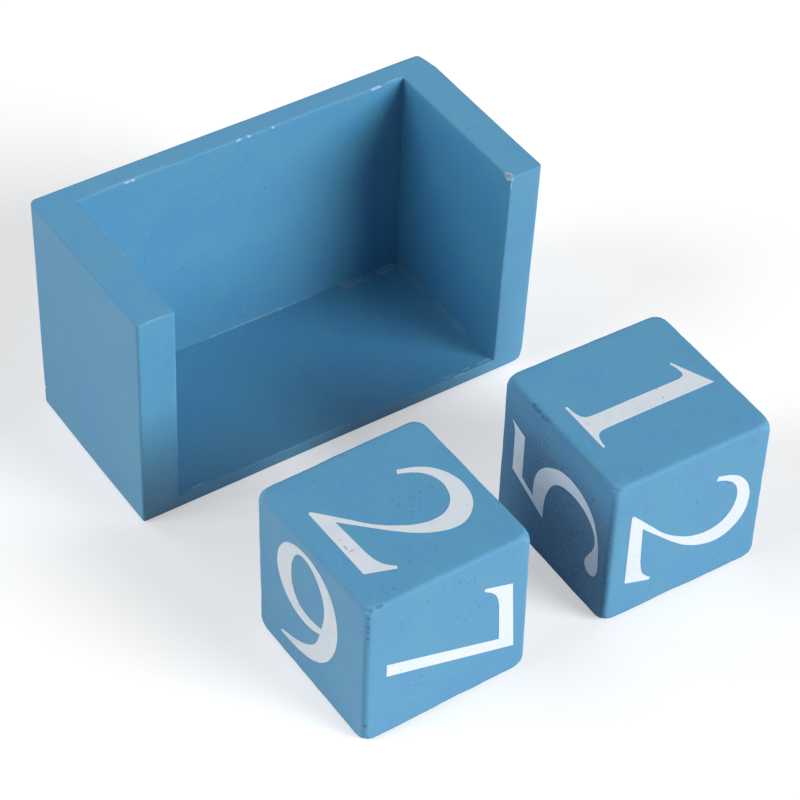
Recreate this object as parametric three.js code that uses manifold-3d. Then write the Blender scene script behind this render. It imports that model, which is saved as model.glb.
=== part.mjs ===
// Wooden desk calendar: a small tray, open at the front and the top, and two number cubes standing in front of it.
// Millimetres, +Z up, the tray's mouth towards -Y, origin at the centre of the tray's underside.
import * as THREE from 'three';
import { mergeVertices } from 'three/addons/utils/BufferGeometryUtils.js';
import Module from 'manifold-3d';

const wasm = await Module();
wasm.setup();

// Number cubes
const cubeEdge = 47.6;
const cubeCornerRadius = 2.6;
const cubeEdgeRadius = 2.2;

// Room in the tray for two cubes side by side, and for bars to stand on top of them
const widthPlay = 3.6;
const depthPlay = 0.7;
const roomAboveCubes = 17.6;

// Tray boards
const sideThickness = 10.6;
const backThickness = 6.4;
const baseThickness = 4.2;
const trayCornerRadius = 2.4;
const trayEdgeRadius = 1.1;
const mouthEdgeRadius = 0.9;

// Panel pins, driven home and filled over
const pinLength = 15;
const pinRadius = 0.6;
const pinHeadRadius = 1.0;
const pinHeadThickness = 0.6;
const pinNeckLength = 0.4;
const pinPointLength = 1.6;
const pinSetDepth = 1.1;
const pinClearance = 0.3;
const pinSides = 10;

// Places of the pins, as shares of the joint that they hold, from its middle
const backPinHeightShares = [-0.24, 0.26];
const basePinDepthShares = [-0.28, 0.16];
const backFootPinShares = [-0.3, 0, 0.3];

// Where the cubes stand: from the tray's middle plane, and from its mouth
const leftCubeOffset = -28.6;
const leftCubeGap = 44.4;
const leftCubeTurn = THREE.MathUtils.degToRad(0.96);
const rightCubeOffset = 43.9;
const rightCubeGap = 43.8;
const rightCubeTurn = THREE.MathUtils.degToRad(-1.16);

// Fineness of the rounded edges, and the small overruns of the cutters
const edgeSegments = 4;
const cornerSegments = 5;
const overrun = 1;
const weldDistance = 0.0001;

// Sizes that follow
const trayWidth = 2 * cubeEdge + widthPlay + 2 * sideThickness;
const trayDepth = cubeEdge + depthPlay + backThickness;
const trayHeight = baseThickness + cubeEdge + roomAboveCubes;
const outerX = trayWidth / 2;
const innerX = outerX - sideThickness;
const mouthY = -trayDepth / 2;
const rearY = trayDepth / 2;
const backInnerY = rearY - backThickness;
const sideLength = backInnerY - mouthY;
const sideMiddleY = mouthY + sideLength / 2;
const wallHeight = trayHeight - baseThickness;
const wallMiddleZ = baseThickness + wallHeight / 2;

const bluePaint = { color: 0x4f8fb8, roughness: 0.62, metalness: 0 };
const pinSteel = { color: 0x9a9ca0, roughness: 0.35, metalness: 1 };

// A closed triangle mesh as a solid that can be cut
function toSolid(geometry) {
  const bare = geometry.clone();
  bare.deleteAttribute('normal');
  bare.deleteAttribute('uv');
  const welded = mergeVertices(bare, weldDistance);
  return new wasm.Manifold(new wasm.Mesh({
    numProp: 3,
    vertProperties: welded.attributes.position.array,
    triVerts: Uint32Array.from(welded.index.array),
  }));
}

function toGeometry(solid) {
  const mesh = solid.getMesh();
  const geometry = new THREE.BufferGeometry();
  geometry.setAttribute('position', new THREE.BufferAttribute(mesh.vertProperties, 3));
  geometry.setIndex(new THREE.BufferAttribute(mesh.triVerts, 1));
  geometry.computeVertexNormals();
  return geometry;
}

// A plain block between two opposite corners, exactly on their coordinates so that boards can share a face
function block(low, high) {
  const geometry = new THREE.BoxGeometry(1, 1, 1);
  const place = geometry.attributes.position;
  for (let i = 0; i < place.count; i += 1) {
    place.setXYZ(
      i,
      place.getX(i) < 0 ? low[0] : high[0],
      place.getY(i) < 0 ? low[1] : high[1],
      place.getZ(i) < 0 ? low[2] : high[2],
    );
  }
  return toSolid(geometry);
}

function roundedRectangle(width, depth, radius) {
  const x = width / 2;
  const y = depth / 2;
  const shape = new THREE.Shape();
  shape.absarc(x - radius, -y + radius, radius, -Math.PI / 2, 0, false);
  shape.absarc(x - radius, y - radius, radius, 0, Math.PI / 2, false);
  shape.absarc(-x + radius, y - radius, radius, Math.PI / 2, Math.PI, false);
  shape.absarc(-x + radius, -y + radius, radius, Math.PI, 1.5 * Math.PI, false);
  return shape;
}

// A sanded block: upright corners rounded by one radius, top and bottom edges by another, underside at z = 0
function sandedBlock(width, depth, height, cornerRadius, edgeRadius) {
  const geometry = new THREE.ExtrudeGeometry(roundedRectangle(width, depth, cornerRadius), {
    depth: height - 2 * edgeRadius,
    curveSegments: cornerSegments,
    bevelEnabled: true,
    bevelThickness: edgeRadius,
    bevelSize: edgeRadius,
    bevelOffset: -edgeRadius,
    bevelSegments: edgeSegments,
  });
  geometry.translate(0, 0, edgeRadius);
  return geometry;
}

// What sanding takes off a sharp edge: middle of the edge, the two ways from it into the wood, and its length
function sandingCutter(middle, firstWay, secondWay, length, radius) {
  const shape = new THREE.Shape();
  shape.moveTo(-overrun, -overrun);
  shape.lineTo(radius, -overrun);
  shape.lineTo(radius, 0);
  shape.absarc(radius, radius, radius, 1.5 * Math.PI, Math.PI, true);
  shape.lineTo(-overrun, radius);
  const geometry = new THREE.ExtrudeGeometry(shape, {
    depth: length,
    curveSegments: edgeSegments,
    bevelEnabled: false,
  });
  geometry.translate(0, 0, -length / 2);
  const u = new THREE.Vector3(...firstWay);
  const v = new THREE.Vector3(...secondWay);
  const frame = new THREE.Matrix4().makeBasis(u, v, u.clone().cross(v));
  frame.setPosition(...middle);
  geometry.applyMatrix4(frame);
  return toSolid(geometry);
}

// The edges of the tray's mouth that are sanded after the boards are joined
function mouthCutters() {
  const cutters = [
    sandingCutter([0, backInnerY, trayHeight], [0, 1, 0], [0, 0, -1], 2 * innerX, mouthEdgeRadius),
    sandingCutter([0, mouthY, baseThickness], [0, 1, 0], [0, 0, -1], 2 * innerX, mouthEdgeRadius),
  ];
  for (const side of [-1, 1]) {
    const x = side * innerX;
    const top = [x, sideMiddleY, trayHeight];
    const front = [x, mouthY, wallMiddleZ];
    cutters.push(sandingCutter(top, [side, 0, 0], [0, 0, -1], sideLength, mouthEdgeRadius));
    cutters.push(sandingCutter(front, [side, 0, 0], [0, 1, 0], wallHeight, mouthEdgeRadius));
  }
  return cutters;
}

// The whole tray as it looks once glued and sanded
function trayForm() {
  const outside = toSolid(sandedBlock(trayWidth, trayDepth, trayHeight, trayCornerRadius, trayEdgeRadius));
  const hollow = block(
    [-innerX, mouthY - overrun, baseThickness],
    [innerX, backInnerY, trayHeight + overrun],
  );
  return mouthCutters().reduce((form, cutter) => form.subtract(cutter), outside.subtract(hollow));
}

// A round pin along +Z, its head at z = 0; grown by a clearance it is the hole that the pin sits in
function pinGeometry(clearance) {
  const shank = pinRadius + clearance;
  const head = pinHeadRadius + clearance;
  const profile = [
    [0, -clearance],
    [head, -clearance],
    [head, pinHeadThickness],
    [shank, pinHeadThickness + pinNeckLength + clearance],
    [shank, pinLength - pinPointLength + clearance],
    [0, pinLength + clearance],
  ];
  const points = profile.map(([radius, along]) => new THREE.Vector2(radius, along));
  return new THREE.LatheGeometry(points, pinSides).rotateX(Math.PI / 2);
}

// Every pin's name, the place of its head and the way that it is driven
function pinPlaces() {
  const pins = [];
  for (const [side, sideName] of [[-1, 'left'], [1, 'right']]) {
    const x = side * (outerX - sideThickness / 2);
    ['low', 'high'].forEach((level, i) => pins.push({
      name: `back_pin_${sideName}_${level}`,
      head: [x, rearY - pinSetDepth, wallMiddleZ + backPinHeightShares[i] * wallHeight],
      turn: Math.PI / 2,
    }));
    ['front', 'rear'].forEach((end, i) => pins.push({
      name: `base_pin_${sideName}_${end}`,
      head: [x, sideMiddleY + basePinDepthShares[i] * sideLength, pinSetDepth],
      turn: 0,
    }));
  }
  ['left', 'middle', 'right'].forEach((place, i) => pins.push({
    name: `base_pin_back_${place}`,
    head: [backFootPinShares[i] * trayWidth, rearY - backThickness / 2, pinSetDepth],
    turn: 0,
  }));
  return pins;
}

function pinHoles() {
  return pinPlaces().map((pin) => {
    const frame = new THREE.Matrix4().makeRotationX(pin.turn).setPosition(...pin.head);
    return toSolid(pinGeometry(pinClearance).applyMatrix4(frame));
  });
}

// The four boards: the glued tray parted at its joints, with the holes that the pins make
function trayBoards() {
  const form = pinHoles().reduce((drilled, hole) => drilled.subtract(hole), trayForm());
  const far = [outerX + overrun, rearY + overrun, trayHeight + overrun];
  const near = [-outerX - overrun, mouthY - overrun, -overrun];
  const slabs = {
    base_board: [near, [far[0], far[1], baseThickness]],
    back_board: [[near[0], backInnerY, baseThickness], far],
    left_side: [[near[0], near[1], baseThickness], [-innerX, backInnerY, far[2]]],
    right_side: [[innerX, near[1], baseThickness], [far[0], backInnerY, far[2]]],
  };
  return Object.entries(slabs).map(([name, [low, high]]) => (
    piece(name, toGeometry(form.intersect(block(low, high))), bluePaint)
  ));
}

function piece(name, geometry, finish) {
  const mesh = new THREE.Mesh(geometry, new THREE.MeshStandardMaterial(finish));
  mesh.name = name;
  return mesh;
}

function panelPin({ name, head, turn }) {
  const pin = piece(name, pinGeometry(0), pinSteel);
  pin.position.set(...head);
  pin.rotation.x = turn;
  return pin;
}

function numberCube(name, offset, gap, turn) {
  const geometry = sandedBlock(cubeEdge, cubeEdge, cubeEdge, cubeCornerRadius, cubeEdgeRadius);
  const cube = piece(name, geometry, bluePaint);
  cube.position.set(offset, mouthY - gap - cubeEdge / 2, 0);
  cube.rotation.z = turn;
  return cube;
}

const tray = new THREE.Group();
tray.add(...trayBoards(), ...pinPlaces().map(panelPin));

const calendar = new THREE.Group();
calendar.add(tray);
calendar.add(numberCube('left_number_cube', leftCubeOffset, leftCubeGap, leftCubeTurn));
calendar.add(numberCube('right_number_cube', rightCubeOffset, rightCubeGap, rightCubeTurn));

export default calendar;
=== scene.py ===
import math
import random

import bmesh
import bpy
from mathutils import Matrix, Vector, noise


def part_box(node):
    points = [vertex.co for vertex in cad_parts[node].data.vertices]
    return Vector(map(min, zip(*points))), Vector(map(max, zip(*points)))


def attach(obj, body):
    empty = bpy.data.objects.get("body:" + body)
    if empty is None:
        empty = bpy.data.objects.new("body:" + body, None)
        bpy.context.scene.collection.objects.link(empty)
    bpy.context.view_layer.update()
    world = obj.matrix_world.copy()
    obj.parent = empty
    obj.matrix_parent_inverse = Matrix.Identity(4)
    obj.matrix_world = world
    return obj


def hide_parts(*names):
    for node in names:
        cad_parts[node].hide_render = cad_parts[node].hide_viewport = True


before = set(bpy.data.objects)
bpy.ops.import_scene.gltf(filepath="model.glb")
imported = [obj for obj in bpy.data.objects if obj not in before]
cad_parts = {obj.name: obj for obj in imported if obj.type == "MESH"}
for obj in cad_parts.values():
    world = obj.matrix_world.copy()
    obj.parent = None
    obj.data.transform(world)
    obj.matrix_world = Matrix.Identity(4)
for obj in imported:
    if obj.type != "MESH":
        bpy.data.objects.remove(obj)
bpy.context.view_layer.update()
mm = 0.001
near = 0.0005 * mm       # how close two coordinates are that count as one
noise.seed_set(7)        # otherwise the noise on the shapes differs from run to run
print("frame loaded with", len(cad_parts), "nodes")


# Shader nodes
class Wire:
    # a socket that sums can be written with; each one adds its Math node
    def __init__(self, finish, socket):
        self.finish = finish
        self.socket = socket

    def maths(self, operation, first, second):
        return self.finish.node("ShaderNodeMath", {"operation": operation}, {0: first, 1: second})

    def __add__(self, other):
        return self.maths("ADD", self, other)

    def __radd__(self, other):
        return self.maths("ADD", other, self)

    def __sub__(self, other):
        return self.maths("SUBTRACT", self, other)

    def __rsub__(self, other):
        return self.maths("SUBTRACT", other, self)

    def __mul__(self, other):
        return self.maths("MULTIPLY", self, other)

    def __rmul__(self, other):
        return self.maths("MULTIPLY", other, self)

    def __gt__(self, other):
        return self.maths("GREATER_THAN", self, other)


class NodeTree:
    def __init__(self, tree):
        self.tree = tree

    # any node: its type, its settings, the values or wires of its sockets, and which output is wanted
    def node(self, kind, settings=None, values=None, output=0):
        made = self.tree.nodes.new(kind)
        for key, value in (settings or {}).items():
            setattr(made, key, value)
        for key, value in (values or {}).items():
            if isinstance(value, Wire):
                self.tree.links.new(value.socket, made.inputs[key])
            else:
                made.inputs[key].default_value = value
        return Wire(self, made.outputs[output])


def opaque(colour):
    return (*colour, 1)


class Finish(NodeTree):
    def __init__(self, name, constants):
        self.material = bpy.data.materials.new(name)
        self.material.use_nodes = True
        super().__init__(self.material.node_tree)
        self.shader = self.tree.nodes["Principled BSDF"]
        for socket, value in constants.items():
            self.shader.inputs[socket].default_value = value

    def feed(self, socket, wire):
        self.tree.links.new(wire.socket, self.shader.inputs[socket])

    def place(self, centre=(0, 0, 0), turn=0):
        where = self.node("ShaderNodeTexCoord", output="Object")
        values = {"Vector": where, "Location": centre, "Rotation": (0, 0, turn)}
        return self.node("ShaderNodeMapping", {"vector_type": "TEXTURE"}, values)

    def grains(self, place, size, detail=2.0, roughness=0.5):
        values = {"Vector": place, "Scale": 1 / size, "Detail": detail, "Roughness": roughness}
        return self.node("ShaderNodeTexNoise", {"noise_dimensions": "3D"}, values)

    def rise(self, wire, low, high):
        values = {"Value": wire, "From Min": low, "From Max": high}
        return self.node("ShaderNodeMapRange", {"interpolation_type": "SMOOTHSTEP"}, values)

    # a Mix node takes its colours at 6 and 7 and gives their mixture at 2
    def blend(self, share, first, second):
        first, second = [c if isinstance(c, Wire) else opaque(c) for c in (first, second)]
        values = {"Factor": share, 6: first, 7: second}
        return self.node("ShaderNodeMix", {"data_type": "RGBA"}, values, output=2)

    def bump(self, height, depth):
        return self.node("ShaderNodeBump", {}, {"Height": height, "Distance": depth, "Strength": 1.0})

    def mark(self, name):
        return self.node("ShaderNodeAttribute", {"attribute_name": name}, output="Fac")

    # one at the middle of a spot, nought where it ends in each direction, and less beyond
    def nearness(self, place, middle, reaches):
        values = {"Vector": place, "Location": middle, "Scale": reaches}
        inside = self.node("ShaderNodeMapping", {"vector_type": "TEXTURE"}, values)
        values = {0: inside, 1: inside}
        return 1 - self.node("ShaderNodeVectorMath", {"operation": "DOT_PRODUCT"}, values, output="Value")

    # the strongest of several marks at each point
    def strongest(self, shares):
        most = shares[0]
        for share in shares[1:]:
            most = most.maths("MAXIMUM", most, share)
        return most

    def atMost(self, share, limit):
        return share.maths("MINIMUM", share, limit)


# Paints and steel
bluePaint = {
    "teal": (0.025, 0.203, 0.350),
    "blue": (0.021, 0.190, 0.367),
    "pale": (0.045, 0.245, 0.430),        # flecks of the second coat
    "thin": (0.300, 0.480, 0.640),        # edges where the paint is rubbed thin
    "primer": (0.235, 0.410, 0.600),      # what a chip lays bare
    "wood": (0.200, 0.255, 0.285),        # under the primer, where a chip is deep
    "scuff": (0.070, 0.150, 0.240),       # round a chip
    "filler": (0.190, 0.330, 0.500),      # smeared in the corners of the tray
    # dark paint of the pinholes and grit, and the painted shade in the cubes' dented nicks
    "pit": (0.002, 0.058, 0.160),
    "grimeAndShade": (0.002, 0.042, 0.112),       # in the pores of a rough face, and the painted shade laid over that face
    "sheen": {"IOR": 1.6, "Specular IOR Level": 1.0},
    "roughness": 0.62,
    "fleckDull": 0.16,                    # how far the flecks vary the roughness
    "edgeDull": 0.28,                     # how much rougher the paint is along worn edges
    "roughDull": 0.34,                    # and on a face whose pores show
    "chipDull": 0.2,
    "cloudSize": 11 * mm,
    "cloudDetail": 3,
    "cloudRange": (0.35, 0.65),
    "fleckSize": 1.6 * mm,
    "fleckRange": (0.48, 0.72),
    "fleckCover": 0.4,
    "fleckHeight": 0.8,                   # beside the orange peel of the paint, which is 1
    "peelSize": 0.8 * mm,
    "peelDepth": 0.018 * mm,
    "raggedSize": 0.8 * mm,
    "gritSize": 0.8 * mm,
    "gritRange": (0.50, 0.68),
    # marks of the vertices: how ragged, where each begins and where it is full, and how much it covers
    "marks": {
        "worn": (2.0, 0.55, 1.5, 0.10),
        "scuff": (0.8, 0.02, 0.25, 0.5),
        "chip": (1.3, 0.16, 0.62, 1),
        "core": (1.6, 0.9, 1.2, 0.85),
        # the pit mark paints shade into the dented nicks of the cubes
        "pit": (0.9, 0.20, 0.55, 0.72),
    },
    "rubs": (1.5, 0.25, 0.85),            # the same for spots of rubbed paint
    "smears": (3.6, 0.02, 0.75),          # and for smears of filler
    "holes": {                            # spacing and radius
        "fine": (1.1 * mm, 0.25 * mm),
        "coarse": (3.2 * mm, 0.40 * mm),
        "cluster": (1.8 * mm, 0.44 * mm),
    },
    "holeRim": 1.2,                       # where a hole begins and where it is deepest, in radii
    "holeFloor": 0.3,
    "crowdSize": 12 * mm,
    "crowding": 3,
    "clusterCrowd": 0.55,
    "holeScarcity": 2.5,
    "holeCover": {"fine": 0.40, "coarse": 0.62, "most": 0.85},
    # how much the rough mark darkens: "face" is a painted shade over the whole rough face, "grit" darkens its
    # pores, "most" is the limit
    "grimeAndShadeCover": {"face": 0.60, "grit": 0.38, "most": 0.9},
    "dips": {"fine": 1.2, "coarse": 2, "chip": 2, "grit": 0.4},      # depths in the paint's relief
}
whitePaint = {
    "colour": (0.590, 0.645, 0.700),
    "dull": (0.500, 0.570, 0.655),
    "sheen": {"IOR": 1.5, "Specular IOR Level": 0.8},
    "roughness": 0.60,
    "cloudSize": 5 * mm,
    "cloudDetail": 4,
    "cloudRange": (0.45, 0.8),
    "cloudCover": 0.6,
    "stains": (1.5, 0.1, 0.7),
    "holeCover": {"fine": 0.25, "coarse": 0.50},
}
pinSteel = {
    "bright": (0.56, 0.56, 0.57),
    "dull": (0.30, 0.29, 0.28),
    "roughness": 0.38,
    "drawSize": 0.25 * mm,
    "drawDepth": 0.006 * mm,
    "drawDull": 0.12,
    "tarnishSize": 3 * mm,
    "tarnishRange": (0.45, 0.7),
    "tarnishCover": 0.6,
    "tarnishDull": 0.25,
}


# Small round holes in the paint, crowded in some places and absent in others
def pinholes(finish, place, kind, share, clusters=()):
    spacing, radius = bluePaint["holes"][kind]
    values = {"Vector": place, "Scale": 1 / spacing}
    gap = finish.node("ShaderNodeTexVoronoi", {}, values, output="Distance")
    colour = finish.node("ShaderNodeTexVoronoi", {}, values, output="Color")
    draw = finish.node("ShaderNodeSeparateColor", {}, {"Color": colour})
    crowd = finish.grains(place, bluePaint["crowdSize"], detail=1)
    if clusters:
        spots = [finish.nearness(place, middle, reaches) for middle, reaches in clusters]
        crowd = crowd + finish.rise(finish.strongest(spots), 0, 0.6) * bluePaint["clusterCrowd"]
    present = draw + crowd * bluePaint["crowding"] > bluePaint["holeScarcity"] - share
    size = radius / spacing
    return finish.rise(gap, size * bluePaint["holeRim"], size * bluePaint["holeFloor"]) * present


# What every paint has: clouds, small flecks, and a noise that makes the outlines of marks ragged
def paintPatterns(finish, place, paint):
    clouds = finish.grains(place, paint["cloudSize"], detail=paint["cloudDetail"])
    flecks = finish.grains(place, bluePaint["fleckSize"], detail=4, roughness=0.6)
    ragged = finish.grains(place, bluePaint["raggedSize"], detail=4, roughness=0.65) - 0.5
    return finish.rise(clouds, *paint["cloudRange"]), flecks, ragged


def paintRoughness(paint, flecks):
    vary = bluePaint["fleckDull"]
    return flecks * vary + (paint["roughness"] - vary / 2)


# Height of the paint film and everything in it, as a normal for the shader
def paintRelief(finish, place, flecks, dips):
    peel = finish.grains(place, bluePaint["peelSize"], detail=3)
    return finish.bump(peel + flecks * bluePaint["fleckHeight"] - dips, bluePaint["peelDepth"])


# Ragged patches round the given spots, as a share from nought to one
def patches(finish, place, ragged, spots, kind):
    ragging, low, high = kind
    shares = [finish.rise(finish.nearness(place, middle, reaches) + ragged * ragging, low, high) * strength
              for middle, reaches, strength in spots]
    return finish.strongest(shares)


def bluePaintFinish(name, wood, centre=(0, 0, 0), turn=0, rubs=(), smears=(), clusters=()):
    finish = Finish(name, bluePaint["sheen"])
    place = finish.place(centre, turn)
    clouds, flecks, ragged = paintPatterns(finish, place, bluePaint)
    grit = finish.rise(finish.grains(place, bluePaint["gritSize"]), *bluePaint["gritRange"])

    def mark(layer, kind):
        ragging, low, high, cover = bluePaint["marks"][kind]
        return finish.rise(finish.mark(layer) + ragged * ragging, low, high) * cover

    colour = finish.blend(clouds, bluePaint["teal"], bluePaint["blue"])
    pale = finish.rise(flecks, *bluePaint["fleckRange"]) * bluePaint["fleckCover"]
    colour = finish.blend(pale, colour, bluePaint["pale"])
    worn = mark("edge", "worn")
    if rubs:
        worn = finish.strongest([worn, patches(finish, place, ragged, rubs, bluePaint["rubs"])])
    colour = finish.blend(worn, colour, bluePaint["thin"])
    if smears:
        wiped = patches(finish, place, flecks - 0.5, smears, bluePaint["smears"])
        colour = finish.blend(wiped, colour, bluePaint["filler"])
    chip = mark("chip", "chip")
    colour = finish.blend(mark("chip", "scuff"), colour, bluePaint["scuff"])
    colour = finish.blend(chip, colour, bluePaint["primer"])
    colour = finish.blend(mark("chip", "core"), colour, bluePaint["wood"])

    # the rough mark carries the pores of the rough face and a painted shade, darker towards its foot and its
    # middle
    rough = finish.mark("rough")
    cover = bluePaint["grimeAndShadeCover"]
    grimeAndShade = rough * cover["face"] + grit * rough * cover["grit"]
    colour = finish.blend(finish.atMost(grimeAndShade, cover["most"]), colour, bluePaint["grimeAndShade"])
    fine = pinholes(finish, place, "fine", wood["fineHoles"])
    coarse = pinholes(finish, place, "coarse", wood["coarseHoles"])
    if clusters:
        crowded = pinholes(finish, place, "cluster", wood["clusterHoles"], clusters)
        coarse = finish.strongest([coarse, crowded])
    cover = bluePaint["holeCover"]
    dark = fine * cover["fine"] + coarse * cover["coarse"] + mark("pit", "pit") + grit * wood["grit"]
    colour = finish.blend(finish.atMost(dark, cover["most"]), colour, bluePaint["pit"])

    finish.feed("Base Color", colour)
    dull = chip * bluePaint["chipDull"] + finish.mark("edge") * bluePaint["edgeDull"]
    finish.feed("Roughness", paintRoughness(bluePaint, flecks) + (dull + rough * bluePaint["roughDull"]))
    depth = bluePaint["dips"]
    dips = fine * depth["fine"] + coarse * depth["coarse"] + chip * depth["chip"]
    dips = dips + grit * (rough + depth["grit"])
    finish.feed("Normal", paintRelief(finish, place, flecks, dips))
    return finish.material


def whitePaintFinish(name, wood, centre, turn, stains):
    finish = Finish(name, whitePaint["sheen"])
    place = finish.place(centre, turn)
    clouds, flecks, ragged = paintPatterns(finish, place, whitePaint)
    colour = finish.blend(clouds * whitePaint["cloudCover"], whitePaint["colour"], whitePaint["dull"])
    if stains:
        stained = patches(finish, place, ragged, stains, whitePaint["stains"])
        colour = finish.blend(stained, colour, bluePaint["wood"])
    fine = pinholes(finish, place, "fine", wood["fineHoles"])
    coarse = pinholes(finish, place, "coarse", wood["coarseHoles"])
    cover = whitePaint["holeCover"]
    colour = finish.blend(fine * cover["fine"] + coarse * cover["coarse"], colour, bluePaint["pit"])
    finish.feed("Base Color", colour)
    finish.feed("Roughness", paintRoughness(whitePaint, flecks))
    finish.feed("Normal", paintRelief(finish, place, flecks, fine + coarse * 2))
    return finish.material


def pinSteelFinish():
    finish = Finish("pinSteelFinish", {"Metallic": 1.0})
    place = finish.place()
    draws = finish.grains(place, pinSteel["drawSize"], detail=4)
    tarnish = finish.rise(finish.grains(place, pinSteel["tarnishSize"], detail=3), *pinSteel["tarnishRange"])
    colour = finish.blend(tarnish * pinSteel["tarnishCover"], pinSteel["bright"], pinSteel["dull"])
    finish.feed("Base Color", colour)
    vary = pinSteel["drawDull"]
    rough = tarnish * pinSteel["tarnishDull"] + draws * vary
    finish.feed("Roughness", rough + (pinSteel["roughness"] - vary / 2))
    finish.feed("Normal", finish.bump(draws, pinSteel["drawDepth"]))
    return finish.material


# Shaping of a piece
creaseAngle = math.radians(38)


def blockBetween(low, high):
    bm = bmesh.new()
    bmesh.ops.create_cube(bm, size=1)
    bmesh.ops.scale(bm, vec=high - low, verts=bm.verts)
    bmesh.ops.translate(bm, vec=(low + high) / 2, verts=bm.verts)
    return bm


# edges that lie at all the coordinates given, such as x=0, z=height
def edgesAt(bm, **coordinates):
    planes = [("xyz".index(key), value) for key, value in coordinates.items()]
    return [e for e in bm.edges if all(abs(v.co[i] - c) < near for v in e.verts for i, c in planes)]


def roundOff(bm, edges, radius, segments):
    bmesh.ops.bevel(bm, geom=edges, offset=radius, offset_type="OFFSET", segments=segments, profile=0.5,
                    affect="EDGES", material=-1, clamp_overlap=True)


def cut(bm, axis, where):
    normal = Vector((0, 0, 0))
    normal[axis] = 1
    everything = [*bm.verts, *bm.edges, *bm.faces]
    bmesh.ops.bisect_plane(bm, geom=everything, dist=near, plane_co=normal * where, plane_no=normal)


# cuts a piece into small squares; the outermost cuts lie this far inside its box
def gridOff(bm, step, low, high, margins):
    for axis in range(3):
        first, last = low[axis] + margins[axis], high[axis] - margins[axis]
        count = max(1, round((last - first) / step))
        for i in range(count + 1):
            cut(bm, axis, first + (last - first) * i / count)


# finer squares round some spots, so that a chip or a pit has an outline of its own
def refine(bm, spots, cuts):
    middles = [(e, (e.verts[0].co + e.verts[1].co) / 2) for e in bm.edges]
    edges = [e for e, middle in middles if any((middle - spot).length < reach for spot, reach in spots)]
    bmesh.ops.subdivide_edges(bm, edges=edges, cuts=cuts, use_grid_fill=True)


# the marks that the paint reads from the vertices
def markLayers(bm):
    return {name: bm.verts.layers.float.new(name) for name in ("edge", "chip", "pit", "rough")}


def waves(place, sizes, seed):
    shift = Vector((seed * 3.1, seed * 5.7, seed * 7.9))
    return sum((noise.noise_vector(place / size + shift) * depth for size, depth in sizes), Vector((0, 0, 0)))


# How far a point of a box moves when some corners of the box do; corners are given by the signs of x, y and z
def cornerMove(place, low, high, corners):
    shares = [min(1, max(-1, 2 * (place[i] - low[i]) / (high[i] - low[i]) - 1)) for i in range(3)]
    move = Vector((0, 0, 0))
    for signs, corner in corners.items():
        weight = math.prod((1 + sign * share) / 2 for sign, share in zip(signs, shares))
        move += Vector(corner) * weight
    return move


def sharpenCorners(bm):
    for face in bm.faces:
        face.smooth = True
    for edge in bm.edges:
        edge.smooth = len(edge.link_faces) == 2 and edge.calc_face_angle() < creaseAngle


def asPiece(bm, name, material, body):
    mesh = bpy.data.meshes.new(name)
    bm.to_mesh(mesh)
    bm.free()
    mesh.materials.append(material)
    piece = bpy.data.objects.new(name, mesh)
    bpy.context.scene.collection.objects.link(piece)
    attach(piece, body)
    return piece


# The tray
tray = {
    "cornerRadii": {"frontLeft": 0.8 * mm, "frontRight": 1.2 * mm,
                    "rearLeft": 2.0 * mm, "rearRight": 1.1 * mm},
    "edgeRadius": 0.65 * mm,
    "mouthRadius": 0.35 * mm,
    "uprightMouthRadius": 0.35 * mm * 1.3,
    "sillRadius": 0.15 * mm,              # front top edge of the base board
    "cornerSegments": 7,
    "edgeSegments": 5,
    "square": 1.5 * mm,
    "squareGap": 0.25 * mm,               # from a rounded edge to the first cut
    "thinShare": 0.3,                     # where a thin board has its first cut instead
    "fineCuts": 5,
    "fineAround": 1 * mm,
    "margin": 0.14 * mm,                  # the wood stays this far inside the sizes of the frame
    "waves": [(26 * mm, 0.10 * mm), (7 * mm, 0.025 * mm)],
    "seed": 4,
    "outOfSquare": {(-1, -1, 1): (0, -1.45 * mm, 0), (1, -1, 1): (0.25 * mm, -2.0 * mm, 0)},
    "thinner": 0.5 * mm,                  # the right side board, on its outer face
    "shorter": 1.0 * mm,                  # the back board, at its right end
    "wornCorners": {(1, 1, 1): (3 * mm, 0.3 * mm), (1, -1, -1): (5 * mm, 0.8 * mm)},      # reach and depth
    # in the rear left joint over the base board
    "notch": {"reach": 2.4 * mm, "depth": 0.5 * mm, "steepness": 1.6, "way": (1, -0.5, 0)},
    "edgeReach": 0.6 * mm,
    "chips": [                            # along the back board's inner top edge: place and half length
        (-34.9 * mm, 1.3 * mm), (-33.4 * mm, 1.3 * mm), (-1.7 * mm, 1.3 * mm), (1.5 * mm, 0.9 * mm),
        (8.7 * mm, 0.9 * mm), (40.1 * mm, 1.6 * mm), (41.5 * mm, 1.6 * mm),
    ],
    "chipHeight": 0.62 * mm,
    "chipDrop": 1.3,                      # how much further a chip reaches down than back
    "chipDepth": 0.25 * mm,
    "chipAround": 0.7 * mm,
    # right side, inner corner of the mouth; the way is the one in which the wood is gone
    "cornerChip": {"reach": 1.75 * mm, "depth": 0.8 * mm, "steepness": 3.6, "way": (0.75, 0.35, -0.45)},
    "raggedSize": 1.1 * mm,
    "raggedReach": 0.7 * mm,
    "rubWidth": 0.22 * mm,
    "seamWidth": 0.62 * mm,
    "sillRubs": [(41.0, 1.2, 1.5), (45.9, 1.0, 1.8), (48.0, 1.2, 1.2), (35.1, 1.1, 2.0), (37.9, 0.3, 1.8)],
    "seamDots": (-10.3, 10.8),
    "rearSmears": [(32.5, 2.6), (36.5, 2.8), (44.5, 3.4)],
    "rightSmears": [(17.5, 3.0), (9.0, 4.5), (-1.5, 3.5), (-10.0, 4.0)],
    "pinMarkRadius": 1.3 * mm,
    "pinMarkDepth": 0.07 * mm,
    "wood": {"fineHoles": 0.05, "coarseHoles": 0.03, "grit": 0.03},      # shares of the places
}
trayLow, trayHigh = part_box("base_board")
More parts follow.
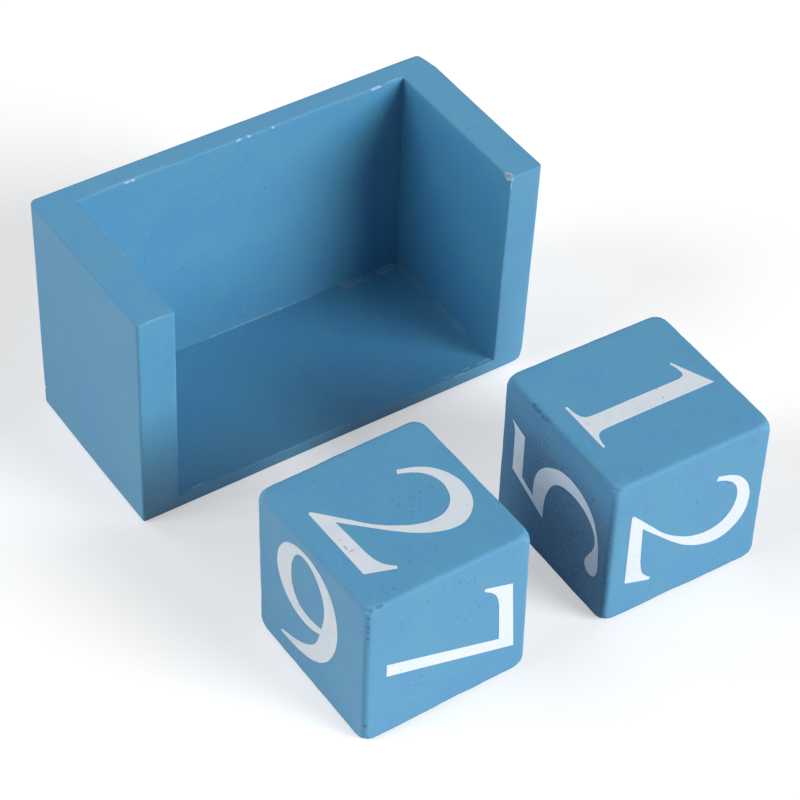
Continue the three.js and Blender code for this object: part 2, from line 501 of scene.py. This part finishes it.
trayHigh.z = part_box("back_board")[1].z
trayCentre = (trayLow + trayHigh) / 2
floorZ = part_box("base_board")[1].z
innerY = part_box("back_board")[0].y
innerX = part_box("right_side")[0].x
mouthY = trayLow.y
notchPlace = Vector((trayLow.x, trayHigh.y, floorZ))
cornerChipPlace = Vector((innerX - 0.2 * mm, mouthY + 1.0 * mm, trayHigh.z))


# A long spot that follows a line along one axis, and reaches a little past its ends
def streak(start, end, width, strength):
    start, end = Vector(start), Vector(end)
    half = (end - start) / 2
    return (start + end) / 2, [abs(c) * 1.12 + width for c in half], strength


# Where the paint is rubbed pale: edges, seams and scratches
def trayRubs():
    wide, fine = tray["rubWidth"], tray["seamWidth"]
    down = tray["mouthRadius"] * 0.3
    topZ = trayHigh.z - down
    backY = innerY + down
    leftX = -innerX - down
    lean = Vector(tray["outOfSquare"][1, -1, 1]).y
    frontY = mouthY + lean * 0.97 + down      # of the right side's leaning top
    rubs = [
        # the back board's top edge
        streak((-innerX, backY, topZ), (-18 * mm, backY, topZ), wide, 0.46),
        streak((-18 * mm, backY, topZ), (innerX, backY, topZ), wide, 0.28),
        streak((43.5 * mm, backY, topZ), (innerX, backY, topZ), wide * 1.3, 0.42),
        # the left side's
        streak((leftX, 9 * mm, topZ), (leftX, 3 * mm, topZ), wide, 0.5),
        streak((leftX, -1 * mm, topZ), (leftX, -6 * mm, topZ), wide, 0.6),
        streak((trayLow.x, mouthY - 1.1 * mm, topZ), (-innerX, mouthY - 1.1 * mm, topZ), wide, 0.35),
        streak((-innerX, mouthY - 0.9 * mm, topZ), (-innerX, mouthY, 48 * mm), wide, 0.35),
        # the right side's front top edge, and the mouth's edge under its chip
        streak((innerX + 0.8 * mm, frontY, topZ), (trayHigh.x, frontY, topZ), wide, 0.7),
        streak((innerX + 0.6 * mm, frontY, topZ - 1.4 * mm), (innerX + 0.5 * mm, frontY, topZ - 4.3 * mm),
               wide * 1.6, 0.5),
        # the seam behind the floor, and a scratch behind the sill
        streak((-24 * mm, innerY, floorZ), (31 * mm, innerY, floorZ), fine, 0.40),
        streak((-46.8 * mm, mouthY + 0.9 * mm, floorZ), (-40.0 * mm, mouthY + 0.7 * mm, floorZ),
               fine * 0.55, 1.0),
    ]
    for x, behind, half in tray["sillRubs"]:
        place = Vector((x * mm, mouthY + behind * mm, floorZ))
        along = Vector((half * mm, 0, 0))
        rubs.append(streak(place - along, place + along, fine * 0.8, 0.36))
    for x in tray["seamDots"]:
        rubs.append(((x * mm, innerY, floorZ), (1.1 * mm, 0.75 * mm, 0.75 * mm), 0.62))
    return rubs


# Filler that was wiped into the right rear corner and along the seams beside it
def traySmears():
    rear = [((x * mm, innerY - 0.9 * mm, floorZ), (half * 1.2 * mm, 2.4 * mm, 0.9 * mm), 0.55)
            for x, half in tray["rearSmears"]]
    right = [((innerX - 0.8 * mm, y * mm, floorZ), (1.5 * mm, half * 1.3 * mm, 0.9 * mm), 0.30)
             for y, half in tray["rightSmears"]]
    return rear + right


# The lines that hands and sanding reach: every outer edge, and the edges round the mouth
def trayEdges():
    lowX, highX = trayLow.x, trayHigh.x
    rearY, topZ = trayHigh.y, trayHigh.z
    lines = [
        ((lowX, rearY, topZ), (highX, rearY, topZ)),
        ((-innerX, innerY, topZ), (innerX, innerY, topZ)),
        ((lowX, mouthY, 0), (highX, mouthY, 0)),
        ((lowX, rearY, 0), (highX, rearY, 0)),
    ]
    for side in (-1, 1):
        outer, inner = side * highX, side * innerX
        lines += [
            ((outer, mouthY, topZ), (outer, rearY, topZ)),
            ((inner, mouthY, topZ), (inner, innerY, topZ)),
            ((outer, mouthY, topZ), (inner, mouthY, topZ)),
            ((outer, mouthY, 0), (outer, rearY, 0)),
            ((outer, mouthY, 0), (outer, mouthY, topZ)),
            ((outer, rearY, 0), (outer, rearY, topZ)),
            ((inner, mouthY, floorZ), (inner, mouthY, topZ)),
        ]
    return [(Vector(start), Vector(end)) for start, end in lines]


def distanceTo(line, place):
    start, end = line
    along = end - start
    share = min(1, max(0, (place - start).dot(along) / along.length_squared))
    return (place - start - along * share).length


def chipPlaces():
    y, z = innerY + tray["mouthRadius"] * 0.1, trayHigh.z - tray["mouthRadius"] * 0.3
    return [(Vector((x, y, z)), half) for x, half in tray["chips"]]


# Where the filled pin heads lie, and the way into the wood there
def pinMarkPlaces():
    marks = []
    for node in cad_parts:
        if "_pin_" not in node:
            continue
        low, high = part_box(node)
        middle = (low + high) / 2
        if node.startswith("back_pin"):
            marks.append((Vector((middle.x, trayHigh.y, middle.z)), Vector((0, -1, 0))))
        else:
            marks.append((Vector((middle.x, middle.y, 0)), Vector((0, 0, 1))))
    return marks


# How much of a chip is at a point, and how far the chips, worn corners and pin marks move it
def trayDamage(place, node, chips, marks):
    inward = (trayCentre - place).normalized()
    tall, cornerChip, notch = tray["chipHeight"], tray["cornerChip"], tray["notch"]
    chip = 0
    for spot, half in chips:
        away = place - spot
        chip = max(chip, 1 - math.hypot(away.x / half, away.y / tall, away.z / (tall * tray["chipDrop"])))
    move = inward * chip * tray["chipDepth"]
    ragged = noise.noise_vector(place / tray["raggedSize"]) * tray["raggedReach"]
    corner = max(0, 1 - (place + ragged - cornerChipPlace).length / cornerChip["reach"])
    chip = max(chip, corner * cornerChip["steepness"])
    move += Vector(cornerChip["way"]) * corner * cornerChip["depth"]
    for signs, (reach, depth) in tray["wornCorners"].items():
        spot = Vector([(trayHigh if sign > 0 else trayLow)[i] for i, sign in enumerate(signs)])
        share = max(0, 1 - (place - spot).length / reach)
        move += inward * share * share * depth
    if node != "base_board":
        share = max(0, 1 - (place - notchPlace).length / notch["reach"])
        move += Vector(notch["way"]) * min(1, share * notch["steepness"]) * notch["depth"]
    for spot, way in marks:
        share = (place - spot).length / tray["pinMarkRadius"]
        if share < 1:
            move += way * (1 - share ** 4) * tray["pinMarkDepth"]
    return chip, move


# The right side board is a little thin, and the back board ends a little short of it
def rightEndMove(place):
    outward = min(1, max(0, (place.x - innerX) / (trayHigh.x - innerX)))
    behind = min(1, max(0, (place.y - innerY) / (trayHigh.y - innerY)))
    return Vector((outward * (tray["thinner"] + behind * tray["shorter"]), 0, 0))


def finishTrayBoard(bm, node, material):
    low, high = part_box(node)
    margin = tray["edgeRadius"] + tray["squareGap"]
    margins = [min(margin, (high[i] - low[i]) * tray["thinShare"]) for i in range(3)]
    gridOff(bm, tray["square"], low, high, margins)
    chips, marks, around = chipPlaces(), pinMarkPlaces(), tray["fineAround"]
    spots = [(place, half + tray["chipAround"]) for place, half in chips]
    spots.append((cornerChipPlace, tray["cornerChip"]["reach"] + around))
    spots.append((notchPlace, tray["notch"]["reach"] + around))
    spots += [(place, tray["pinMarkRadius"] + around) for place, _ in marks]
    refine(bm, spots, tray["fineCuts"])
    layers = markLayers(bm)
    lines = trayEdges()
    size = trayHigh - trayLow
    shrink = [1 - 2 * tray["margin"] / size[i] for i in range(3)]
    for v in bm.verts:
        place = v.co.copy()
        gap = min(distanceTo(line, place) for line in lines)
        v[layers["edge"]] = math.exp(-((gap / tray["edgeReach"]) ** 2))
        v[layers["chip"]], damage = trayDamage(place, node, chips, marks)
        move = waves(place, tray["waves"], tray["seed"]) + damage
        move += cornerMove(place, trayLow, trayHigh, tray["outOfSquare"]) - rightEndMove(place)
        for i in range(3):
            v.co[i] = trayCentre[i] + (place[i] - trayCentre[i]) * shrink[i] + move[i]
    sharpenCorners(bm)
    piece = asPiece(bm, node + "_painted", material, "tray")
    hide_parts(node)


# the stretch of a board's front top edge that lies between the two sides
def roundMouthEdge(bm, y, z, radius):
    for x in (-innerX, innerX):
        cut(bm, 0, x)
    mouth = [e for e in edgesAt(bm, y=y, z=z) if all(abs(v.co.x) < innerX + near for v in e.verts)]
    roundOff(bm, mouth, radius, tray["edgeSegments"])


# how far an upright corner of the tray is rounded
def cornerRadius(x, y):
    return tray["cornerRadii"][("front" if y < 0 else "rear") + ("Left" if x < 0 else "Right")]


def baseBoard():
    low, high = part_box("base_board")
    bm = blockBetween(low, high)
    for x in (low.x, high.x):
        for y in (low.y, high.y):
            roundOff(bm, edgesAt(bm, x=x, y=y), cornerRadius(x, y), tray["cornerSegments"])
    roundOff(bm, edgesAt(bm, z=low.z), tray["edgeRadius"], tray["edgeSegments"])
    roundMouthEdge(bm, low.y, high.z, tray["sillRadius"])
    return bm


def backBoard():
    low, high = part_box("back_board")
    bm = blockBetween(low, high)
    for x in (low.x, high.x):
        roundOff(bm, edgesAt(bm, x=x, y=high.y), cornerRadius(x, high.y), tray["cornerSegments"])
    front = set(edgesAt(bm, y=low.y))
    rim = [e for e in edgesAt(bm, z=high.z) if e not in front]
    roundOff(bm, rim, tray["edgeRadius"], tray["edgeSegments"])
    roundMouthEdge(bm, low.y, high.z, tray["mouthRadius"])
    return bm


def sideBoard(node):
    low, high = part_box(node)
    outer, inner = (low.x, high.x) if node == "left_side" else (high.x, low.x)
    bm = blockBetween(low, high)
    roundOff(bm, edgesAt(bm, x=outer, y=low.y), cornerRadius(outer, low.y), tray["cornerSegments"])
    roundOff(bm, edgesAt(bm, x=inner, y=low.y), tray["uprightMouthRadius"], tray["edgeSegments"])
    rear = set(edgesAt(bm, y=high.y))
    rim = [e for e in edgesAt(bm, z=high.z) if e not in rear]
    roundOff(bm, rim, tray["edgeRadius"], tray["edgeSegments"])
    return bm


bluePaintTray = bluePaintFinish("bluePaintTray", tray["wood"], rubs=trayRubs(), smears=traySmears())
finishTrayBoard(baseBoard(), "base_board", bluePaintTray)
finishTrayBoard(backBoard(), "back_board", bluePaintTray)
for board in ("left_side", "right_side"):
    finishTrayBoard(sideBoard(board), board, bluePaintTray)
print("tray boards made")

steel = pinSteelFinish()
for node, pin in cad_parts.items():
    if "_pin_" in node:
        pin.data.materials.clear()
        pin.data.materials.append(steel)
print("pins finished")


# Outlines of the numerals, in thousandths of the cube's edge: across, up, and sharp where it has a corner
sharp, smooth = "VECTOR", "AUTO"
ovalPoints = 12


def oval(across, up, width, height):
    steps = [2 * math.pi * i / ovalPoints for i in range(ovalPoints)]
    return [(across + width / 2 * math.sin(a), up + height / 2 * math.cos(a)) for a in steps]


numerals = {
    "zero": [oval(500, 520, 550, 790), oval(500, 520, 300, 720)],
    "one": [[
        (595, 915, sharp), (360, 805, sharp), (368, 795, sharp), (430, 810), (468, 805), (485, 770, sharp),
        (485, 230, sharp), (472, 175), (435, 153), (365, 143, sharp), (365, 130, sharp), (705, 130, sharp),
        (705, 143, sharp), (640, 155), (607, 178), (595, 230, sharp),
    ]],
    "two": [[
        (266, 678, sharp), (315, 795), (385, 865), (470, 902), (550, 908), (635, 888), (705, 835),
        (748, 765), (757, 700), (740, 620), (695, 525), (630, 440), (520, 325), (405, 210, sharp),
        (660, 220, sharp), (745, 238), (790, 268), (818, 300, sharp), (832, 290, sharp), (775, 130, sharp),
        (285, 130, sharp), (280, 145, sharp), (420, 270), (520, 360), (600, 470), (642, 560), (655, 650),
        (640, 720), (590, 782), (520, 815), (450, 820), (380, 795), (330, 745), (292, 665, sharp),
    ]],
    "three": [[
        (290, 725, sharp), (325, 800), (390, 870), (480, 907), (560, 905), (645, 875), (690, 815),
        (695, 745), (665, 665), (600, 595), (540, 558, sharp), (630, 530), (705, 470), (740, 390),
        (735, 290), (690, 200), (600, 135), (500, 105), (380, 100), (280, 115), (245, 145), (250, 180),
        (290, 190), (360, 165), (440, 140), (520, 145), (590, 190), (630, 265), (635, 350), (605, 430),
        (545, 480), (470, 500), (390, 495, sharp), (390, 515, sharp), (480, 550), (555, 610), (590, 680),
        (590, 750), (555, 805), (490, 830), (420, 820), (360, 785), (310, 715, sharp),
    ]],
    "four": [
        [
            (600, 915, sharp), (600, 400, sharp), (760, 400, sharp), (760, 345, sharp), (600, 345, sharp),
            (600, 130, sharp), (500, 130, sharp), (500, 345, sharp), (220, 345, sharp), (220, 375, sharp),
            (560, 915, sharp),
        ],
        [(500, 400, sharp), (275, 400, sharp), (500, 765, sharp)],
    ],
    "five": [[
        (410, 870, sharp), (660, 872, sharp), (715, 880), (750, 900, sharp), (710, 785, sharp),
        (420, 780, sharp), (370, 672, sharp), (440, 678), (530, 665), (620, 620), (700, 530), (748, 430),
        (752, 330), (720, 230), (655, 155), (550, 105), (420, 85), (320, 85), (270, 105), (255, 140),
        (275, 180), (320, 190), (380, 165), (440, 135), (500, 122), (570, 140), (630, 200), (662, 280),
        (665, 360), (640, 450), (590, 510), (500, 555), (400, 575), (290, 575, sharp),
    ]],
    "seven": [[
        (310, 890, sharp), (795, 915, sharp), (550, 130, sharp), (465, 130, sharp), (690, 820, sharp),
        (420, 810, sharp), (345, 790), (300, 755), (268, 712, sharp), (250, 715, sharp),
    ]],
    "eight": [
        [
            (500, 912), (610, 890), (675, 830), (690, 750), (655, 660), (585, 570, sharp), (685, 490),
            (745, 390), (740, 270), (680, 170), (590, 118), (490, 102), (370, 122), (280, 185), (245, 280),
            (268, 385), (335, 465), (405, 520, sharp), (335, 595), (300, 690), (312, 790), (375, 870),
        ],
        [
            (510, 885), (580, 855), (612, 780), (600, 700), (550, 612), (470, 660), (400, 730), (385, 800),
            (430, 865),
        ],
        [
            (450, 492), (560, 415), (630, 320), (622, 220), (570, 152), (490, 130), (400, 155), (345, 230),
            (345, 340), (380, 430),
        ],
    ],
    "nine": [
        [
            (220, 145, sharp), (335, 150), (435, 168), (534, 208), (624, 278), (705, 402), (742, 530),
            (745, 620), (717, 745), (645, 850), (545, 908), (432, 922), (325, 893), (240, 815), (195, 680),
            (212, 572), (265, 490), (335, 440), (420, 420), (510, 427), (590, 460, sharp), (545, 350),
            (460, 265), (360, 210), (230, 165, sharp),
        ],
        [
            (325, 700), (345, 800), (385, 865), (440, 885), (510, 865), (575, 800), (615, 720), (625, 640),
            (602, 508, sharp), (540, 495), (460, 493), (395, 515), (345, 580),
        ],
    ],
}

# The cubes: each face by the way that it looks, with its numeral and the ways that the numeral's right and
# top point; pits in shares of the edge, with their size; and crowded pinholes in mm, with their reaches
cubes = {
    "left": {
        "turn": math.radians(0.96),
        "seed": 11,
        "faces": {
            "top": ("two", (0, -1, 0), (1, 0, 0)),
            "left": ("nine", (0, -1, 0), (0, 0, 1)),
            "front": ("seven", (0, 0, -1), (1, 0, 0)),
            "right": ("zero", (0, 1, 0), (0, 0, 1)),
            "rear": ("one", (-1, 0, 0), (0, 0, 1)),
            "bottom": ("eight", (1, 0, 0), (0, -1, 0)),
        },
        "pits": [
            (-0.430, -0.485, 0.488, 1.0), (-0.415, -0.487, 0.488, 0.9), (-0.490, -0.490, 0.440, 0.8),
            (-0.490, -0.490, 0.374, 0.9), (-0.490, -0.490, 0.340, 0.8), (-0.490, -0.490, 0.290, 0.7),
            (-0.490, -0.490, -0.370, 0.9), (-0.132, -0.326, 0.500, 0.5),
        ],
        "clusters": [
            ((6.5, 2.0, 23.8), (9, 7, 3)), ((-7.7, 16.9, 23.8), (5, 4, 3)), ((4.0, -23.8, 16.0), (5, 3, 4)),
            ((7.0, -23.8, 5.0), (6, 3, 4)), ((-12.5, -23.8, -9.5), (7, 3, 5)),
        ],
        "corners": {
            (-1, 1, 1): (-0.3 * mm, 0, 0), (-1, 1, -1): (0.3 * mm, 0, 0), (1, 1, 1): (-0.7 * mm, 0, 0),
            (1, -1, 1): (-0.5 * mm, 0, 0), (1, -1, -1): (0.3 * mm, 0.1 * mm, 0.3 * mm),
            (-1, -1, -1): (0, 0.2 * mm, 0.2 * mm),
        },
        "poresAndShadeFace": (0, 0),              # axis and side of the face with pores and a painted shade; none here
        "stains": [
            ((-16.6 * mm, -3.8 * mm, 24 * mm), (0.45 * mm, 1.2 * mm, 1 * mm), 0.60),
            ((-16.0 * mm, -5.4 * mm, 24 * mm), (1.1 * mm, 0.42 * mm, 1 * mm), 0.52),
        ],
        "shift": {},
    },
    "right": {
        "turn": math.radians(-1.16),
        "seed": 23,
        "faces": {
            "top": ("one", (0, -1, 0), (1, 0, 0)),
            "left": ("five", (0, 0, 1), (0, 1, 0)),
            "front": ("two", (0, 0, -1), (1, 0, 0)),
            "right": ("zero", (0, 1, 0), (0, 0, 1)),
            "rear": ("three", (-1, 0, 0), (0, 0, 1)),
            "bottom": ("four", (1, 0, 0), (0, -1, 0)),
        },
        "pits": [
            (-0.492, 0.240, 0.486, 1.3), (-0.494, 0.212, 0.478, 1.3), (-0.490, 0.186, 0.484, 1.0),
            (-0.494, 0.148, 0.476, 1.4), (-0.492, 0.118, 0.480, 1.2), (-0.500, -0.325, 0.289, 0.9),
            (-0.500, -0.310, 0.250, 0.8), (-0.500, -0.230, -0.352, 1.1),
        ],
        "clusters": [
            ((-23.8, 9.0, 17.0), (3, 10, 5)), ((-23.8, -14.0, 7.0), (3, 7, 9)),
            ((-23.8, -5.0, -13.0), (3, 11, 8)),
        ],
        "corners": {
            (-1, 1, 1): (-0.2 * mm, 0.1 * mm, 0), (-1, 1, -1): (-0.3 * mm, 0.3 * mm, 0),
            (1, 1, 1): (-0.3 * mm, 0, 0), (1, -1, -1): (0.2 * mm, 0.1 * mm, 0.2 * mm),
        },
        # the left face, with its pores and a painted shadow of the left cube
        "poresAndShadeFace": (0, -1),
        "stains": [],
        "shift": {"front": (-27, -4), "left": (6, 4)},      # of the numeral, across and up, in thousandths
    },
}
cube = {
    "cornerRadius": 1.3 * mm,
    "edgeRadius": 1.0 * mm,
    "roundCorner": 2.8 * mm,
    "roundReach": 5.0 * mm,
    "segments": 5,
    "square": 1.3 * mm,
    "squareGap": 0.3 * mm,
    "fineCuts": 3,
    "fineAround": 1.1 * mm,
    "margin": 0.13 * mm,
    "waves": [(24 * mm, 0.09 * mm), (6 * mm, 0.02 * mm)],
    "edgeReach": 1.0 * mm,
    "edgeWaves": [(9 * mm, 0.30 * mm), (2.6 * mm, 0.12 * mm)],
    "pitRadius": 0.85 * mm,
    "pitDepth": 0.35 * mm,
    "pitCount": 26,                       # random ones, of which the photograph's three faces keep none
    "pitsOnEdges": 0.7,
    "poresAndShadeFall": 13 * mm,                 # how far down the rough face the pores and the painted shade are at full strength
    # the least share of pores and painted shade, at the top of the face
    "poresAndShadeLeast": 0.3,
    "poresAndShadeEnds": 0.35,                    # how much smoother it is, and how much less painted shade it has, towards front and rear
    "inkHeight": 0.06 * mm,
    "inkFoot": 0.08 * mm,
    "inkSteps": 6,                        # along each stretch of a numeral's outline
    "wood": {"fineHoles": 0.45, "coarseHoles": 0.26, "clusterHoles": -0.85, "grit": 0.08},
}


# a corner of the cube is rounded further than the edges that meet there
def roundCorner(place, half):
    farthest = max(half - abs(c) for c in place)
    radius = cube["roundCorner"] * max(0, 1 - farthest / cube["roundReach"])
    core = half - radius
    beyond = Vector([max(0, abs(c) - core) for c in place])
    if beyond.length <= radius:
        return place
    inside = beyond * (radius / beyond.length)
    return Vector([math.copysign(min(abs(c), core) + i, c) for c, i in zip(place, inside)])


# where a point of the plain cube ends up, and how near it is to an edge
def cubeShape(place, half, about):
    gaps = sorted(half - abs(c) for c in place)
    toEdge = math.hypot(gaps[0], gaps[1])
    edge = math.exp(-((toEdge / cube["edgeReach"]) ** 2))
    seed = about["seed"]
    corner = Vector((half, half, half))
    move = waves(place, cube["waves"], seed) + cornerMove(place, -corner, corner, about["corners"])
    shift = Vector((seed, seed, seed))
    dip = sum(abs(noise.noise(place / size + shift)) * depth for size, depth in cube["edgeWaves"])
    return roundCorner(place, half) + move - place.normalized() * dip * edge, edge


# The photograph's own pits, and random ones on the faces that it hides
def pitPlaces(about, edgeLength, inner):
    rng = random.Random(about["seed"])
    pits = [(Vector(share) * edgeLength, size * cube["pitRadius"]) for *share, size in about["pits"]]
    for _ in range(cube["pitCount"]):
        spot = [rng.uniform(-1, 1) * inner for _ in range(3)]
        side = rng.randrange(3)
        spot[side] = math.copysign(inner, spot[side])
        if rng.random() < cube["pitsOnEdges"]:
            other = (side + rng.choice((1, 2))) % 3
            spot[other] = math.copysign(inner - cube["edgeRadius"] * rng.uniform(0, 1), spot[other])
        if min(spot[0], spot[1], -spot[2]) > -0.9 * inner:
            pits.append((Vector(spot), cube["pitRadius"]))
    return [(Vector([min(inner, max(-inner, c)) for c in pit]), radius) for pit, radius in pits]


# How far the pores and a painted shade show at a point: only close to the rough face, and more towards its
# foot and its middle, where the painted shadow of the other cube lies
def roughness(place, inner, about):
    axis, side = about["poresAndShadeFace"]
    face = min(1, max(0, place[axis] * side / inner * 12 - 11))
    lower = min(1, max(cube["poresAndShadeLeast"], (inner - place.z) / cube["poresAndShadeFall"]))
    return face * lower * (1 - cube["poresAndShadeEnds"] * (place.y / inner) ** 2)


def makeCube(name, about):
    node, body = name + "_number_cube", name + "_cube"
    low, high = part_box(node)
    centre, edgeLength = (low + high) / 2, high.z - low.z
    inner = edgeLength / 2 - cube["margin"]
    corner = Vector((inner, inner, inner))
    bm = blockBetween(-corner, corner)
    for x in (-inner, inner):
        for y in (-inner, inner):
            roundOff(bm, edgesAt(bm, x=x, y=y), cube["cornerRadius"], cube["segments"])
    for z in (-inner, inner):
        roundOff(bm, edgesAt(bm, z=z), cube["edgeRadius"], cube["segments"])
    gridOff(bm, cube["square"], -corner, corner, [cube["cornerRadius"] + cube["squareGap"]] * 3)
    pits = pitPlaces(about, edgeLength, inner)
    refine(bm, [(pit, radius + cube["fineAround"]) for pit, radius in pits], cube["fineCuts"])
    layers = markLayers(bm)
    for v in bm.verts:
        place = v.co.copy()
        v.co, v[layers["edge"]] = cubeShape(place, inner, about)
        v[layers["rough"]] = roughness(place, inner, about)
        # each pit is a dent, and its mark is painted dark as the shade in it
        deepest = max(0, *(1 - (place - pit).length / radius for pit, radius in pits))
        if deepest > 0:
            v[layers["pit"]] = deepest
            v.co -= place.normalized() * deepest * cube["pitDepth"]
    sharpenCorners(bm)
    stand = Matrix.Translation(centre) @ Matrix.Rotation(about["turn"], 4, "Z")
    bmesh.ops.transform(bm, matrix=stand, verts=bm.verts)

    clusters = [(Vector(middle) * mm, Vector(reaches) * mm) for middle, reaches in about["clusters"]]
    title, wood, turn = name.capitalize() + "Cube", cube["wood"], about["turn"]
    paint = bluePaintFinish("bluePaint" + title, wood, centre, turn, clusters=clusters)
    piece = asPiece(bm, node + "_painted", paint, body)
    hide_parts(node)
    ink = whitePaintFinish("whitePaint" + title, wood, centre, turn, about["stains"])
    for face, (figure, across, up) in about["faces"].items():
        aside, above = about["shift"].get(face, (0, 0))
        outlines = [[(x + aside, y + above, *kind) for x, y, *kind in line] for line in numerals[figure]]
        numeral = numeralShape(outlines, Vector(across), Vector(up), edgeLength, inner, about)
        bmesh.ops.transform(numeral, matrix=stand, verts=numeral.verts)
        asPiece(numeral, "_".join((body, figure, face)), ink, body)
    print(name, "cube made")


def outlineMesh(outlines, edgeLength):
    curve = bpy.data.curves.new("numeralOutline", "CURVE")
    curve.dimensions = "2D"
    curve.fill_mode = "BOTH"
    curve.resolution_u = cube["inkSteps"]
    for outline in outlines:
        spline = curve.splines.new("BEZIER")
        spline.bezier_points.add(len(outline) - 1)
        spline.use_cyclic_u = True
        for point, (across, up, *kind) in zip(spline.bezier_points, outline):
            point.co = ((across / 1000 - 0.5) * edgeLength, (up / 1000 - 0.5) * edgeLength, 0)
            point.handle_left_type = point.handle_right_type = kind[0] if kind else smooth
    holder = bpy.data.objects.new("numeralOutline", curve)
    bpy.context.scene.collection.objects.link(holder)
    bpy.context.view_layer.update()
    mesh = bpy.data.meshes.new_from_object(holder.evaluated_get(bpy.context.evaluated_depsgraph_get()))
    bpy.data.objects.remove(holder)
    bpy.data.curves.remove(curve)
    return mesh


# a thin layer of paint that follows its face of the cube, its foot just under the surface
def numeralShape(outlines, across, up, edgeLength, inner, about):
    mesh = outlineMesh(outlines, edgeLength)
    bm = bmesh.new()
    bm.from_mesh(mesh)
    bpy.data.meshes.remove(mesh)
    bmesh.ops.remove_doubles(bm, verts=bm.verts, dist=near)
    count = int(edgeLength / cube["square"])
    for axis in (0, 1):
        for i in range(1, count):
            cut(bm, axis, edgeLength * (i / count - 0.5))
    bmesh.ops.recalc_face_normals(bm, faces=bm.faces)
    bmesh.ops.solidify(bm, geom=bm.faces[:], thickness=cube["inkHeight"] + cube["inkFoot"])
    bmesh.ops.recalc_face_normals(bm, faces=bm.faces)
    heights = [v.co.z for v in bm.verts]
    middle = (max(heights) + min(heights)) / 2
    outward = across.cross(up)
    for v in bm.verts:
        flat = across * v.co.x + up * v.co.y + outward * inner
        height = cube["inkHeight"] if v.co.z > middle else -cube["inkFoot"]
        v.co = cubeShape(flat, inner, about)[0] + outward * height
    sharpenCorners(bm)
    return bm


for cubeName, cubeAbout in cubes.items():
    makeCube(cubeName, cubeAbout)


# Camera, floor and light
view = {
    "azimuth": -34.68, "elevation": 43.55, "roll": 2.10, "lens": 131.4, "sensor": 36,
    "aim": (9.65 * mm, -40.62 * mm, 20 * mm), "distance": 759 * mm,
}
studio = {
    "floorColour": 0.66,
    "floorForCamera": 0.58,               # its colour and its own light where the camera or the gloss sees it
    "floorGlow": 0.47,
    "floorRadius": 3.0,
    "floorCorners": 96,
    "lampSpread": math.radians(36),
    "lamps": {          # the way that the light comes from, and how bright it makes a surface that faces it
        "frontRight": {"azimuth": 210, "elevation": 24, "level": 1.42},
        "rearLeft": {"azimuth": 25, "elevation": 16, "level": 0.42},
        "left": {"azimuth": 75, "elevation": 34, "level": 0.58},
    },
}


def towards(azimuth, elevation):
    a, e = math.radians(azimuth), math.radians(elevation)
    return Vector((-math.sin(a) * math.cos(e), math.cos(a) * math.cos(e), math.sin(e)))


def addCamera():
    camera = bpy.data.objects.new("camera", bpy.data.cameras.new("camera"))
    camera.data.lens = view["lens"]
    camera.data.sensor_width = view["sensor"]
    look = towards(view["azimuth"], -view["elevation"])
    level = look.to_track_quat("-Z", "Y").to_matrix().to_4x4()
    place = Vector(view["aim"]) - look * view["distance"]
    roll = Matrix.Rotation(math.radians(view["roll"]), 4, "Z")
    camera.matrix_world = Matrix.Translation(place) @ level @ roll
    bpy.context.scene.collection.objects.link(camera)
    bpy.context.scene.camera = camera


# one for what the camera sees directly or in a reflection, nought for the light that falls on the object
def seenRays(finish):
    rays = [finish.node("ShaderNodeLightPath", output=ray)
            for ray in ("Is Camera Ray", "Is Glossy Ray", "Is Transmission Ray")]
    settings = {"operation": "ADD", "use_clamp": True}
    return finish.node("ShaderNodeMath", settings, {0: rays[0] + rays[1], 1: rays[2]})


def addFloor():
    bm = bmesh.new()
    bmesh.ops.create_circle(bm, cap_ends=True, segments=studio["floorCorners"], radius=studio["floorRadius"])
    mesh = bpy.data.meshes.new("floor")
    bm.to_mesh(mesh)
    bm.free()
    floor = bpy.data.objects.new("floor", mesh)
    bpy.context.scene.collection.objects.link(floor)
    finish = Finish("paleFloor", {})
    plain, bright = [finish.node("ShaderNodeBsdfDiffuse", {}, {"Color": opaque([studio[key]] * 3)})
                     for key in ("floorColour", "floorForCamera")]
    glow = finish.node("ShaderNodeEmission", {}, {"Strength": studio["floorGlow"]})
    seen = finish.node("ShaderNodeAddShader", {}, {0: bright, 1: glow})
    surface = finish.node("ShaderNodeMixShader", {}, {0: seenRays(finish), 1: plain, 2: seen})
    finish.tree.links.new(surface.socket, finish.tree.nodes["Material Output"].inputs["Surface"])
    finish.tree.nodes.remove(finish.shader)
    mesh.materials.append(finish.material)


# a white room that the camera and the gloss see, and that sheds no light of its own
def addSky():
    world = bpy.data.worlds.new("paleRoom")
    world.use_nodes = True
    bpy.context.scene.world = world
    background = world.node_tree.nodes["Background"]
    background.inputs["Color"].default_value = (1, 1, 1, 1)
    world.node_tree.links.new(seenRays(NodeTree(world.node_tree)).socket, background.inputs["Strength"])


def addLamps():
    for name, about in studio["lamps"].items():
        data = bpy.data.lights.new(name, "SUN")
        data.angle = studio["lampSpread"]
        data.energy = about["level"] * math.pi
        lamp = bpy.data.objects.new(name, data)
        source = towards(about["azimuth"], about["elevation"])
        lamp.matrix_world = source.to_track_quat("Z", "Y").to_matrix().to_4x4()
        bpy.context.scene.collection.objects.link(lamp)


addCamera()
addFloor()
addSky()
addLamps()
bpy.context.scene.view_settings.view_transform = "Standard"
print("camera, floor and light set")
